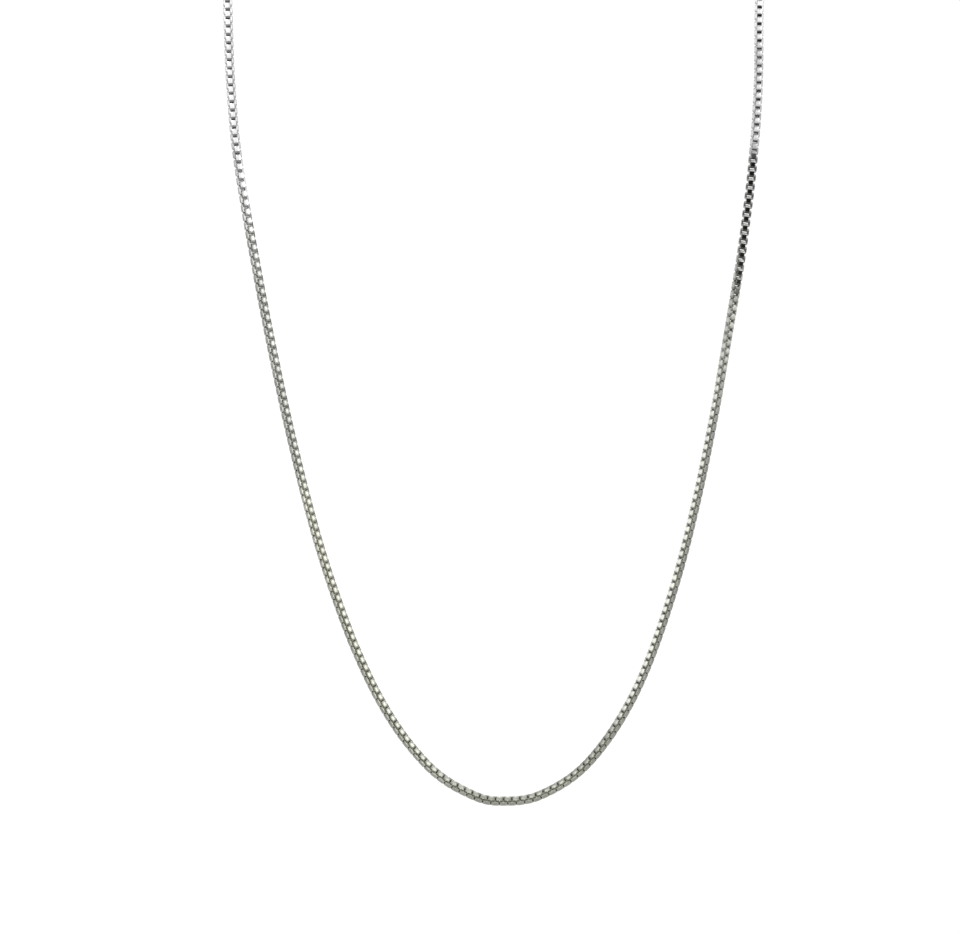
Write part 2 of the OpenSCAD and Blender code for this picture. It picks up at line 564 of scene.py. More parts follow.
@dataclass(frozen=True)
class PaintedShadeAndTint:
    """Light and shade painted into the silver by how each face lies, from left to right, as a share of
    clean silver, with a warm tint and random differences between links.

    Args:
        front: walls that face forwards or back.
        upper_bend: bends at the upper ends of those walls.
        lower_bend: bends at their lower ends.
        edge: edges of the strip that face forwards or back.
        edge_bend: those edges at the bends.
        inner: whatever faces the inside of the loop.
        inner_bend: its bends.
        outer: whatever faces the outside of the loop.
        outer_bend: its bends.
        inside: surfaces within the links.
        bar: end faces of the links, deep between two walls.
        spared: how far the upper bends at the sides keep the level of their walls, or the
            lower ones where it is below 0.
        inner_groove: edges of the strip in the groove between two rows of walls, on its
            side towards the inside of the loop.
        outer_groove: those on its other side.
        inner_deep: edges of the strip that show behind the walls on the inside of the loop.
        outer_deep: those on its outside.
        warmth: how warm the silver's tint is, from 0 to 1.
        groove_bend: how much of the groove's level is left at the bends.
        bend_start: how far round a bend its level begins, at once.
        dark_from: how far round a bend it is fully the bend's.
        sideways: how far a face looks to a side where that side's level begins, and where
            it is full.
        behind: how far a face lies behind the walls where the level there begins, and where
            it is full.
        upright: how steeply a link stands where its upper and lower bends fully differ.
        patchy: how far links differ.
    """

    # The runs below are painted light and shade, set along the chain for each way a face can lie.
    front: Run = Run((
        (-0.16, 0.5), (-0.08, 1.0), (0.01, 1.0), (0.03, 0.91), (0.06, 0.91), (0.08, 0.98),
        (0.868, 0.9), (0.876, 0.2), (0.882, 0.02), (0.963, 0.01), (0.967, 0.4), (0.972, 1.0),
        (1.08, 1.0), (1.16, 0.5),
    ))
    # Painted highlight on the upper bends, painted shade on the lower bends.
    upper_bend: Run = Run((
        (-0.16, 0.35), (-0.08, 0.8), (0.0, 0.8), (0.86, 0.6), (0.884, 0.55), (0.96, 0.55),
        (0.97, 0.4), (1.08, 0.4), (1.16, 0.35),
    ))
    lower_bend: Run = Run((
        (0.0, 0.25), (0.86, 0.2), (0.884, 0.1), (0.96, 0.1), (0.968, 0.05),
    ))
    edge: Run = Run((
        (-0.16, 0.5), (-0.08, 0.95), (0.015, 0.9), (0.03, 0.76), (0.045, 0.68), (0.06, 0.56),
        (0.08, 0.45), (0.2, 0.42), (0.24, 0.5), (0.26, 0.85), (0.3, 0.8), (0.33, 0.5),
        (0.45, 0.45), (0.82, 0.5), (0.87, 0.5), (0.885, 0.14), (0.96, 0.14), (0.97, 0.85),
        (0.98, 1.0), (1.08, 1.0), (1.16, 0.5),
    ))
    edge_bend: Run = Run((
        (-0.16, 0.35), (-0.08, 0.5), (0.0, 0.5), (0.87, 0.45), (0.885, 0.5), (0.96, 0.55),
        (0.972, 0.75), (1.08, 0.75), (1.16, 0.35),
    ))
    # Painted light and shade of the faces towards the inside and the outside of the loop.
    inner: Run = Run((
        (0.0, 0.45), (0.03, 0.5), (0.042, 0.95), (0.06, 0.95), (0.08, 0.66), (0.1, 0.52),
        (0.2, 0.49), (0.24, 0.58), (0.32, 0.58), (0.42, 0.52), (0.475, 0.44), (0.49, 0.34),
        (0.585, 0.32), (0.605, 0.8), (0.65, 1.0), (0.78, 0.9), (0.835, 0.68), (0.85, 0.65),
        (0.88, 0.6), (0.96, 0.45), (0.975, 0.8), (1.0, 0.85),
    ))
    inner_bend: Run = Run((
        (-0.16, 0.3), (-0.08, 0.5), (0.045, 0.5), (0.065, 0.34), (0.08, 0.28), (0.2, 0.28),
        (0.24, 0.36), (0.4, 0.35), (0.46, 0.3), (0.49, 0.26), (0.59, 0.26), (0.61, 0.3),
        (0.76, 0.27), (0.8, 0.36), (0.835, 0.42), (0.85, 0.4), (0.88, 0.4), (0.9, 0.5),
        (0.96, 0.6), (1.0, 0.5), (1.08, 0.5), (1.16, 0.3),
    ))
    outer: Run = Run((
        (0.0, 0.35), (0.03, 0.4), (0.05, 0.62), (0.07, 0.5), (0.1, 0.46), (0.2, 0.45),
        (0.24, 0.58), (0.26, 0.76), (0.3, 0.68), (0.33, 0.36), (0.42, 0.3), (0.5, 0.28),
        (0.6, 0.3), (0.7, 0.36), (0.78, 0.4), (0.82, 0.55), (0.84, 0.9), (0.868, 1.0),
        (0.876, 0.3), (0.882, 0.05), (0.9, 0.04), (0.91, 0.3), (1.0, 0.35),
    ))
    outer_bend: Run = Run((
        (-0.16, 0.25), (-0.08, 0.35), (0.0, 0.35), (0.03, 0.4), (0.05, 0.55), (0.08, 0.45),
        (0.2, 0.44), (0.24, 0.3), (0.3, 0.3), (0.34, 0.36), (0.46, 0.34), (0.65, 0.31),
        (0.74, 0.32), (0.815, 0.38), (0.84, 0.25), (0.88, 0.14), (0.9, 0.5), (1.0, 0.35),
        (1.08, 0.35), (1.16, 0.25),
    ))
    # Painted shade deep within the links and on the bars between their walls.
    inside: Run = Run((
        (0.06, 0.3), (0.08, 0.9), (0.84, 0.9), (0.875, 0.5), (0.89, 0.05), (0.96, 0.03),
        (1.0, 0.06),
    ))
    bar: Run = Run((
        (0.06, 0.4), (0.08, 0.9), (0.84, 0.9), (0.88, 0.5), (0.89, 0.1),
    ))
    spared: Run = Run((
        (0.0, 0.0), (0.06, -0.5), (0.14, -0.4), (0.24, 0.0),
    ))
    # Painted light and shade of the strip's edges in the grooves between rows of walls and behind them.
    inner_groove: Run = Run((
        (0.04, 0.9), (0.07, 0.72), (0.23, 0.74), (0.255, 0.88), (0.3, 0.88), (0.33, 0.78),
        (0.58, 0.78), (0.62, 0.82), (0.76, 0.8), (0.8, 0.75), (0.85, 0.8), (0.87, 0.8),
        (0.885, 0.3), (0.96, 0.3), (0.97, 0.9),
    ))
    outer_groove: Run = Run((
        (0.0, 0.6), (0.06, 0.58), (0.08, 0.42), (0.23, 0.42), (0.255, 0.6), (0.3, 0.55),
        (0.325, 0.44), (0.6, 0.45), (0.62, 0.54), (0.76, 0.54), (0.82, 0.52), (0.85, 0.8),
        (0.88, 0.8), (0.9, 0.5),
    ))
    inner_deep: Run = Run((
        (0.0, 0.4), (0.05, 0.6), (0.08, 0.1), (0.44, 0.1), (0.48, 0.3), (0.59, 0.3),
        (0.62, 0.9), (0.82, 0.9), (0.85, 0.45), (0.88, 0.4),
    ))
    outer_deep: Run = Run((
        (0.0, 0.4), (0.24, 0.5), (0.34, 0.3), (0.82, 0.3), (0.85, 0.9), (0.88, 0.9),
        (0.9, 0.4),
    ))
    warmth: Run = Run((
        (0.06, 0.0), (0.09, 0.3), (0.14, 0.45), (0.22, 0.55), (0.27, 1.0), (0.41, 1.0),
        (0.46, 0.8), (0.55, 0.9), (0.63, 0.65), (0.72, 0.7), (0.82, 0.55), (0.88, 0.45),
        (0.92, 0.2), (0.97, 0.0),
    ))
    groove_bend: float = 0.8
    bend_start: float = 0.17
    dark_from: float = 0.34
    sideways: tuple[float, float] = (0.15, 0.6)
    behind: tuple[float, float] = (0.2, 0.8)
    upright: float = 0.25
    patchy: float = 0.12

    def at(self, share: np.ndarray) -> dict[str, np.ndarray]:
        """Reads every run at many places, and gives each by its name, in a column."""
        values = {item.name: getattr(self, item.name) for item in fields(self)}
        return {name: run.at(share)[:, None] for name, run in values.items() if isinstance(run, Run)}


class ShadePainter:
    """Works out the light and shade painted into the silver at each face corner of each link."""

    def __init__(
        self, wear: PaintedShadeAndTint, faces: LinkFaces, share: np.ndarray, link: np.ndarray, loop: np.ndarray
    ) -> None:
        """Measures how each face lies in the loop.

        Kept are how far the walls of a link look forwards and inwards, how far an edge lies
        in the groove between two rows of walls or, below 0, behind them, how far a face
        looks inwards, how far it is at the upper end of its link, and how far each corner
        has turned into a bend, ahead and at the sides.

        Args:
            wear: the light and shade painted into the silver along the chain.
            faces: what its level depends on within a link.
            share: place of each link along the front of the chain.
            link: for each link, the directions of its length, its walls and its strip's
                width, in columns.
            loop: the directions of the chain, the front and the inside of the loop there.
        """
        self.wear, self.faces, self.tone = wear, faces, wear.at(share)
        self.walls_ahead, self.walls_inward = (
            dot(link[:, :, 1], loop[:, :, way])[:, None] for way in (1, 2)
        )
        strip_ahead = dot(link[:, :, 2], loop[:, :, 1])[:, None]
        self.grooved = 2.0 * (self.walls_ahead * faces.wall) * strip_ahead * faces.rim
        inward = self.walls_inward * faces.wall
        self.inward = np.where(faces.edge, inward * np.minimum(1.0, np.abs(self.grooved)), inward)
        self.upper = ease(-wear.upright, wear.upright, faces.end * link[:, 2, 0][:, None])
        bend = np.where(faces.rounded, np.maximum(faces.bend, wear.bend_start), faces.bend)
        self.turned = ease(0.0, wear.dark_from, bend)
        self.turned_aside = self.turned * (1.0 - self._spared())

    def _spared(self) -> np.ndarray:
        """Tells how far a bend at the side keeps the level of its wall."""
        above, below = (np.maximum(way * self.tone["spared"], 0.0) for way in (1.0, -1.0))
        return above * self.upper + below * (1.0 - self.upper)

    def _ahead(self) -> np.ndarray:
        """Works out the level of whatever faces forwards or back.

        Returns:
            One row for each link, with one value for each face corner.
        """
        tone = self.tone
        # Painted highlight on the upper bends and painted shade on the lower ones.
        bend = self.upper * tone["upper_bend"] + (1.0 - self.upper) * tone["lower_bend"]
        return np.where(
            self.faces.edge,
            between(tone["edge"], tone["edge_bend"], self.turned),
            between(tone["front"], bend, self.turned),
        )

    def _all_round(self) -> np.ndarray:
        """Blends the levels ahead and at both sides over the outside of the links.

        Returns:
            One row for each link, with one value for each face corner.
        """
        tone = self.tone
        to_inside = ease(*self.wear.sideways, self.inward)
        to_outside = ease(*self.wear.sideways, -self.inward)
        level = (1.0 - to_inside - to_outside) * self._ahead()
        level = level + to_inside * between(tone["inner"], tone["inner_bend"], self.turned_aside)
        return level + to_outside * between(tone["outer"], tone["outer_bend"], self.turned_aside)

    def _with_edges(self, level: np.ndarray) -> np.ndarray:
        """Gives the edges of the strip their own levels in the groove and behind the walls.

        Args:
            level: the level all round.

        Returns:
            The level with those edges.
        """
        tone, edge, inner = self.tone, self.faces.edge, self.inward > 0.0
        # Painted shade of the strip's edges in the groove and behind the walls.
        groove = np.where(inner, tone["inner_groove"], tone["outer_groove"])
        groove = groove * (1.0 - (1.0 - self.wear.groove_bend) * self.turned_aside)
        level = between(level, groove, np.where(edge, np.clip(self.grooved, 0.0, 1.0) ** 2, 0.0))
        deep = np.where(inner, tone["inner_deep"], tone["outer_deep"])
        return between(level, deep, np.where(edge, ease(*self.wear.behind, -self.grooved), 0.0))

    def levels(self) -> np.ndarray:
        """Works out the level of all surfaces.

        Returns:
            One row for each link, with one value for each face corner.
        """
        tone, faces = self.tone, self.faces
        # Painted shade on the bars deep between two walls and on the surfaces within the links.
        level = np.where(faces.bar, tone["bar"], self._with_edges(self._all_round()))
        hidden = ease(*self.wear.behind, 2.0 * self.walls_ahead * self.walls_inward)
        return np.where(faces.inside, between(tone["inside"], tone["outer_bend"], hidden), level)


@dataclass
class Chain:
    """The run of interlocking box links.

    Args:
        route: its centreline.
        link: the link that it is made of.
        hang: how it hangs.
        wear: the light and shade painted into its silver, its warm tint and how far links differ.
        samples: places along the route at which the spacing of the links is counted.
        glance: how far before and behind a place its heading is measured.
    """

    route: ChainRoute
    link: BoxLink
    hang: Hang
    wear: PaintedShadeAndTint
    samples: int = 20001
    glance: float = 0.0001

    def places(self) -> np.ndarray:
        """Shares the links out along the route, closer where the chain is slack.

        Returns:
            Lengths along the route of the middles of the links. Their number is such that
            both end links hold a link turned the same way.
        """
        pitch = self.link.sizes.pitch
        fine = np.linspace(pitch / 2, self.route.length - pitch / 2, self.samples)
        spacing = pitch - self.hang.play * self.hang.slack.at(self.route.share_at(fine))
        steps = np.diff(fine) * 2 / (spacing[1:] + spacing[:-1])
        count = np.concatenate([[0.0], np.cumsum(steps)])
        quarters = (self.hang.quarters(0.0) + self.hang.quarters(1.0)) % 2
        gaps = 2 * math.ceil((count[-1] - quarters) / 2) + quarters
        return np.interp(np.arange(gaps + 1), count * gaps / count[-1], fine)

    def line(self, places: np.ndarray) -> np.ndarray:
        """Traces the line that the chain follows, which strays a little from its route.

        Args:
            places: lengths along the route.

        Returns:
            The line's points there, in rows.
        """
        route = self.route
        course = unit(route.at(places + self.glance) - route.at(places - self.glance))
        inward = np.cross(route.normal_at(places), course)
        return route.at(places) + inward * self.hang.sway.at(route.share_at(places))[:, None]

    def frames(self, places: np.ndarray) -> tuple[np.ndarray, np.ndarray, np.ndarray]:
        """Places and turns every link.

        Args:
            places: lengths along the route of the middles of the links.

        Returns:
            The middles; for each link a 3 by 3 matrix whose columns are the directions of its
            length, its walls and its strip's width; and one whose columns are the directions
            of the chain, the front and the inside of the loop there.
        """
        hang, half = self.hang, self.link.sizes.pitch / 2
        share = self.route.share_at(places)
        back, fore = self.line(places - half), self.line(places + half)
        course = unit(fore - back)
        front = self.route.normal_at(places)
        front = unit(front - course * dot(front, course)[:, None])
        loop = np.stack([course, front, np.cross(front, course)], axis=2)
        chance = np.random.default_rng(hang.seed)
        loose = hang.slack.at(share) * (1.0 - hang.taut_wobble) + hang.taut_wobble
        stray = np.radians(hang.wobble) * loose[:, None] * chance.uniform(-1, 1, (len(places), 3))
        lean = np.radians(hang.lean.at(share)) + stray[:, 1]
        heading = unit(course + front * lean[:, None] + loop[:, :, 2] * stray[:, 2:])
        normal = unit(front - heading * dot(front, heading)[:, None])
        side = np.cross(heading, normal)
        crosswise = (np.arange(len(places)) + hang.quarters(0.0)) % 2
        turn = np.radians(hang.turn.at(share)) + stray[:, 0] + crosswise * math.pi / 2
        depth = normal * np.cos(turn)[:, None] + side * np.sin(turn)[:, None]
        link = np.stack([heading, np.cross(depth, heading), depth], axis=2)
        return (back + fore) / 2, link, loop

    def build(self, name: str) -> bpy.types.Object:
        """Builds the chain as one mesh.

        Args:
            name: name of the piece.

        Returns:
            The chain's object, at the origin.
        """
        model = self.link.model()
        points = np.array([v.co[:] for v in model.data.vertices])
        faces = np.array([f.vertices[:] for f in model.data.polygons])
        places = self.places()
        middles, turns, loop = self.frames(places)
        share = self.route.share_at(places)
        vertices = np.einsum("kij,nj->kni", turns, points) + middles[:, None, :]
        offsets = (np.arange(len(places)) * len(points))[:, None, None]
        corners = (faces[None] + offsets).reshape(-1, 4)
        mesh = bpy.data.meshes.new(name)
        mesh.from_pydata(vertices.reshape(-1, 3).tolist(), [], corners.tolist())
        # Paints light and shade into the silver: each face's level follows how it faces the light, the
        # front and the inside of the loop, with painted shade in grooves and recesses; links also differ at
        # random.
        level = ShadePainter(self.wear, self.link.read(model.data), share, turns, loop).levels()
        chance = np.random.default_rng(self.hang.seed + 1).uniform(0.0, 1.0, (len(share), 1))
        self._paint(mesh, "polish", level * (1.0 - self.wear.patchy * chance))
        self._paint(mesh, "warmth", np.repeat(self.wear.warmth.at(share), faces.size))
        mesh.validate()
        bpy.data.objects.remove(model)
        chain = bpy.data.objects.new(name, mesh)
        bpy.context.collection.objects.link(chain)
        deselect()
        chain.select_set(True)
        bpy.context.view_layer.objects.active = chain
        bpy.ops.object.shade_smooth_by_angle(angle=SMOOTH_BELOW)
        LOG.info("%s: %d links of %d faces", name, len(places), len(faces))
        return chain

    @staticmethod
    def _paint(mesh: bpy.types.Mesh, name: str, values: np.ndarray) -> None:
        """Stores one value for each face corner under a name."""
        layer = mesh.attributes.new(name, "FLOAT", "CORNER")
        layer.data.foreach_set("value", np.ascontiguousarray(values, dtype=np.float32).ravel())


class NodeMaker:
    """Adds nodes to a node tree and joins them."""

    def __init__(self, tree: bpy.types.NodeTree) -> None:
        """Keeps the tree to add to."""
        self.tree = tree

    def add(self, kind: str, **inputs: object) -> bpy.types.Node:
        """Adds a node.

        Args:
            kind: Blender's name of the node.
            inputs: values or sockets for its inputs, by name, and its options.

        Returns:
            The node.
        """
        node = self.tree.nodes.new(kind)
        for name, value in inputs.items():
            if name in node.inputs:
                self.set(node, {name: value})
            else:
                setattr(node, name, value)
        return node

    def set(self, node: bpy.types.Node, values: dict[str | int, object]) -> None:
        """Sets inputs to values, or joins sockets to them.

        Args:
            node: the node.
            values: a value or a socket for each input, by its name or number.
        """
        for name, value in values.items():
            if isinstance(value, bpy.types.NodeSocket):
                self.tree.links.new(value, node.inputs[name])
            else:
                node.inputs[name].default_value = value

    def math(self, operation: str, *values: object) -> bpy.types.NodeSocket:
        """Adds a Math node.

        Args:
            operation: what it does.
            values: values or sockets that it reads, in order.

        Returns:
            Its result.
        """
        node = self.add("ShaderNodeMath", operation=operation)
        self.set(node, dict(enumerate(values)))
        return node.outputs[0]

    def mix(self, blend: str, factor: object, a: object, b: object) -> bpy.types.NodeSocket:
        """Adds a Mix node for colours.

        Args:
            blend: how it mixes them.
            factor: how much of the second it takes.
            a: the first colour.
            b: the second colour.

        Returns:
            Its result.
        """
        node = self.add("ShaderNodeMix", data_type="RGBA", blend_type=blend)
        self.set(node, {0: factor, 6: a, 7: b})
        return node.outputs[2]

    def fade(
        self, value: object, start: tuple[float, float], end: tuple[float, float], shape: str = "SMOOTHSTEP"
    ) -> bpy.types.NodeSocket:
        """Adds a Map Range node, which goes from one value to another.

        Args:
            value: the value or socket that it follows.
            start: where it starts, and the value there.
            end: where it ends, and the value there.
            shape: how it goes from one to the other.

        Returns:
            Its result.
        """
        node = self.add("ShaderNodeMapRange", interpolation_type=shape, Value=value)
        self.set(node, {"From Min": start[0], "From Max": end[0], "To Min": start[1], "To Max": end[1]})
        return node.outputs[0]


@dataclass(frozen=True)
class SilverSurface:
    """How the surface of all the silver varies.

    Args:
        scratch_lays: how each of the two sets of scratches is turned and stretched.
        scratch_detail: how ragged they are.
        scratch_width: how far from its middle the noise still leaves a scratch.
        scratch_blur: roughness that they add.
        blotch_scale: how fine the blotches of tarnish are.
        blotch_detail: how ragged they are.
        blotch_spread: how much of their detail shows.
        blotch_level: how far they vary the polish, and the least that they leave of it.
        blotch_blur: roughness that they add.
        grain_scale: how fine the grain is.
        grain_detail: how ragged it is.
        grain_level: how far it varies the polish, and the least that it leaves of it.
    """

    scratch_lays: tuple[tuple[Triple, Triple], ...] = (
        ((0.0, 0.0, 0.6), (1.0, 9.0, 1.0)),
        ((0.9, 0.0, -0.5), (9.0, 1.0, 1.5)),
    )
    scratch_detail: float = 3.0
    scratch_width: float = 0.05
    scratch_blur: float = 0.06
    blotch_scale: float = 260.0
    blotch_detail: float = 4.0
    blotch_spread: float = 0.6
    blotch_level: tuple[float, float] = (0.16, 0.90)
    blotch_blur: float = 0.06
    grain_scale: float = 2600.0
    grain_detail: float = 2.0
    grain_level: tuple[float, float] = (0.10, 0.96)


class SilverGroups:
    """Node groups that the silvers share, each built once."""

    def __init__(self, surface: SilverSurface) -> None:
        """Builds both groups.

        Args:
            surface: how the surface of the silver varies.
        """
        self.surface = surface
        self.scratches = self._scratches()
        self.film = self._film()

    @staticmethod
    def _new(
        name: str, inputs: dict[str, str], outputs: dict[str, str]
    ) -> tuple[NodeMaker, bpy.types.Node, bpy.types.Node]:
        """Makes an empty group with named sockets.

        Args:
            name: name of the group.
            inputs: kinds of its inputs, by name.
            outputs: kinds of its outputs, by name.

        Returns:
            The maker of its nodes, its input node and its output node.
        """
        tree = bpy.data.node_groups.new(name, "ShaderNodeTree")
        for way, sockets in (("INPUT", inputs), ("OUTPUT", outputs)):
            for socket, kind in sockets.items():
                tree.interface.new_socket(socket, in_out=way, socket_type=kind)
        maker = NodeMaker(tree)
        return maker, maker.add("NodeGroupInput"), maker.add("NodeGroupOutput")

    def _scratches(self) -> bpy.types.NodeTree:
        """Builds the fine scratches that rubbing leaves on polished silver.

        Returns:
            A group that turns a position into the height and the mask of the scratches.
        """
        surface = self.surface
        maker, start, end = self._new(
            "fine_scratches",
            {"Position": "NodeSocketVector", "Scale": "NodeSocketFloat"},
            {"Height": "NodeSocketFloat", "Mask": "NodeSocketFloat"},
        )
        place, scale = start.outputs["Position"], start.outputs["Scale"]
        sets = []
        for turn, stretch in surface.scratch_lays:
            lay = maker.add("ShaderNodeMapping", Vector=place, Rotation=turn, Scale=stretch).outputs[0]
            noise = maker.add("ShaderNodeTexNoise", Vector=lay, Scale=scale, Detail=surface.scratch_detail)
            away = maker.math("ABSOLUTE", maker.math("SUBTRACT", noise.outputs[0], 0.5))
            sets.append(maker.fade(away, (0.0, 1.0), (surface.scratch_width, 0.0), "LINEAR"))
        mask = maker.math("MAXIMUM", *sets)
        maker.set(end, {"Mask": mask, "Height": maker.math("MULTIPLY", mask, -1.0)})
        return maker.tree

    def _film(self) -> bpy.types.NodeTree:
        """Builds the silver's colour: its level, which carries painted light and shade on the links, dimmed
        by blotches of tarnish and grain, and its warm tint.

        Returns:
            A group that turns the silver's level into its colour and roughness.
        """
        surface = self.surface
        maker, start, end = self._new(
            "tarnish_and_painted_shade",
            {
                "Position": "NodeSocketVector", "Shade_Level": "NodeSocketFloat",
                "Warmth": "NodeSocketFloat", "Scratches": "NodeSocketFloat",
                "Silver": "NodeSocketColor", "Warm Silver": "NodeSocketColor",
                "Smooth": "NodeSocketFloat", "Dull": "NodeSocketFloat",
            },
            {"Color": "NodeSocketColor", "Roughness": "NodeSocketFloat"},
        )
        given = start.outputs
        blotch = maker.add(
            "ShaderNodeTexNoise", Vector=given["Position"], Scale=surface.blotch_scale,
            Detail=surface.blotch_detail, Roughness=surface.blotch_spread,
        ).outputs[0]
        grain = maker.add(
            "ShaderNodeTexNoise", Vector=given["Position"], Scale=surface.grain_scale,
            Detail=surface.grain_detail,
        ).outputs[0]
        blotched = maker.math("MULTIPLY_ADD", blotch, *surface.blotch_level)
        grained = maker.math("MULTIPLY_ADD", grain, *surface.grain_level)
        bright = maker.math("MULTIPLY", given["Shade_Level"], maker.math("MULTIPLY", blotched, grained))
        tint = maker.mix("MIX", given["Warmth"], given["Silver"], given["Warm Silver"])
        level = maker.add("ShaderNodeCombineColor", Red=bright, Green=bright, Blue=bright).outputs[0]
        rough = maker.add("ShaderNodeMix", data_type="FLOAT")
        dull = maker.math("SUBTRACT", 1.0, bright)
        maker.set(rough, {0: dull, 2: given["Smooth"], 3: given["Dull"]})
        scratched = maker.math("MULTIPLY", given["Scratches"], surface.scratch_blur)
        blurred = maker.math("MULTIPLY", blotch, surface.blotch_blur)
        total = maker.math("ADD", maker.math("ADD", rough.outputs[0], scratched), blurred)
        maker.set(end, {"Color": maker.mix("MULTIPLY", 1.0, tint, level), "Roughness": total})
        return maker.tree


@dataclass(frozen=True)
class BareSilver:
    """A silver whose level is still to be given.

    Args:
        material: the material.
        maker: the maker of its nodes.
        place: its texture coordinates.
        film: its tarnish and its level, which carries painted light and shade on the links.
    """

    material: bpy.types.Material
    maker: NodeMaker
    place: bpy.types.Node
    film: bpy.types.Node


@dataclass(frozen=True)
class Silver:
    """A silver finish.

    Args:
        name: name of the material.
        tone: its colour where it is clean.
        warm_tone: its colour where it is tinted warm.
        smooth: roughness where the silver is brightest.
        dull: roughness where it is darkest, by painted shade on the links and by tarnish.
        scratch_scale: how fine its scratches are.
        scratch_depth: how deep they are.
    """

    name: str
    tone: Color
    warm_tone: Color
    smooth: float
    dull: float
    scratch_scale: float
    scratch_depth: float

    def start(self, groups: SilverGroups) -> BareSilver:
        """Makes the material with its tarnish, its level and its scratches.

        Args:
            groups: the shared node groups.

        Returns:
            The silver, whose level is still to be given.
        """
        material = bpy.data.materials.new(self.name)
        material.use_nodes = True
        maker = NodeMaker(material.node_tree)
        place = maker.add("ShaderNodeTexCoord")
        scratches = maker.add("ShaderNodeGroup", node_tree=groups.scratches)
        maker.set(scratches, {"Position": place.outputs["Object"], "Scale": self.scratch_scale})
        film = maker.add("ShaderNodeGroup", node_tree=groups.film)
        maker.set(film, {
            "Position": place.outputs["Object"], "Scratches": scratches.outputs["Mask"],
            "Silver": rgba(self.tone), "Warm Silver": rgba(self.warm_tone),
            "Smooth": self.smooth, "Dull": self.dull,
        })
        bump = maker.add("ShaderNodeBump", Strength=1.0, Distance=self.scratch_depth)
        maker.set(bump, {"Height": scratches.outputs["Height"]})
        maker.set(material.node_tree.nodes["Principled BSDF"], {
            "Metallic": 1.0, "Base Color": film.outputs["Color"],
            "Roughness": film.outputs["Roughness"], "Normal": bump.outputs[0],
        })
        return BareSilver(material, maker, place, film)


@dataclass(frozen=True)
class ChainSilver(Silver):
    """Silver of the small links, whose painted light and shade and warm tint are stored on their faces."""

    def make(self, groups: SilverGroups) -> bpy.types.Material:
        """Makes the material.

        Args:
            groups: the shared node groups.

        Returns:
            The material.
        """
        bare = self.start(groups)
        # Reads the painted light and shade and the warm tint stored on the links' faces.
        for name, socket in (("polish", "Shade_Level"), ("warmth", "Warmth")):
            painted = bare.maker.add("ShaderNodeAttribute", attribute_name=name)
            bare.maker.set(bare.film, {socket: painted.outputs["Fac"]})
        return bare.material


@dataclass(frozen=True)
class FittingSilver(Silver):
    """Silver of the fittings at the nape, tarnished where their parts are soldered or rub.

    Args:
        polish: how bright its silver is, as a share of clean silver.
        warmth: how warm its tint is, from 0 to 1.
        seams: distances from the middle of the clasp at which the tarnish gathers.
        seam_reach: how far it spreads from there.
        seam_polish: how much of the polish is left there.
    """

    polish: float = 0.5
    warmth: float = 0.35
    seams: tuple[float, ...] = ()
    seam_reach: float = 0.0005
    seam_polish: float = 0.25

    def make(self, groups: SilverGroups) -> bpy.types.Material:
        """Makes the material.

        Args:
            groups: the shared node groups.

        Returns:
            The material.
        """
        bare = self.start(groups)
        maker = bare.maker
        across = maker.add("ShaderNodeSeparateXYZ", Vector=bare.place.outputs["Object"]).outputs[0]
        out = maker.math("ABSOLUTE", across)
        clean: object = self.polish
        for seam in self.seams:
            away = maker.math("ABSOLUTE", maker.math("SUBTRACT", out, seam))
            left = maker.fade(away, (0.0, self.seam_polish), (self.seam_reach, 1.0))
            clean = maker.math("MULTIPLY", clean, left)
        maker.set(bare.film, {"Shade_Level": clean, "Warmth": self.warmth})
        return bare.material


@dataclass
class Fittings:
    """The end links, jump rings and clasp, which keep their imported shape.

    Args:
        nodes: the material slot of each piece.
    """

    nodes: dict[str, Slot] = field(default_factory=lambda: {
        "end_link_left": Slot.CHAIN, "end_link_right": Slot.CHAIN,
        "jump_ring_left": Slot.FITTING, "jump_ring_right": Slot.FITTING,
        "clasp": Slot.FITTING,
    })

    def dress(self, frame: dict, silvers: dict[Slot, bpy.types.Material]) -> None:
        """Gives each piece its silver.

        Args:
            frame: the loaded frame.
            silvers: the silver of each material slot.
        """
        for name, slot in self.nodes.items():
            for place in frame["nodes"][name].material_slots:
                place.material = silvers[slot]
            LOG.info("%s: %s", name, silvers[slot].name)


@dataclass(frozen=True)
class Lamp:
    """A large soft light.

    Args:
        name: its name.
        place: where it hangs.
        size: length of its sides.
        power: its power, in watts.
    """

    name: str
    place: Triple
    size: float
    power: float

    def hang(self, target: Vector) -> None:
        """Hangs the light.

        Args:
            target: the point that it shines at.
        """
        data = bpy.data.lights.new(self.name, "AREA")
        data.shape, data.size, data.energy = "SQUARE", self.size, self.power
        light = bpy.data.objects.new(self.name, data)
        light.location = self.place
        light.rotation_euler = (target - Vector(self.place)).to_track_quat("-Z", "Y").to_euler()
        bpy.context.collection.objects.link(light)


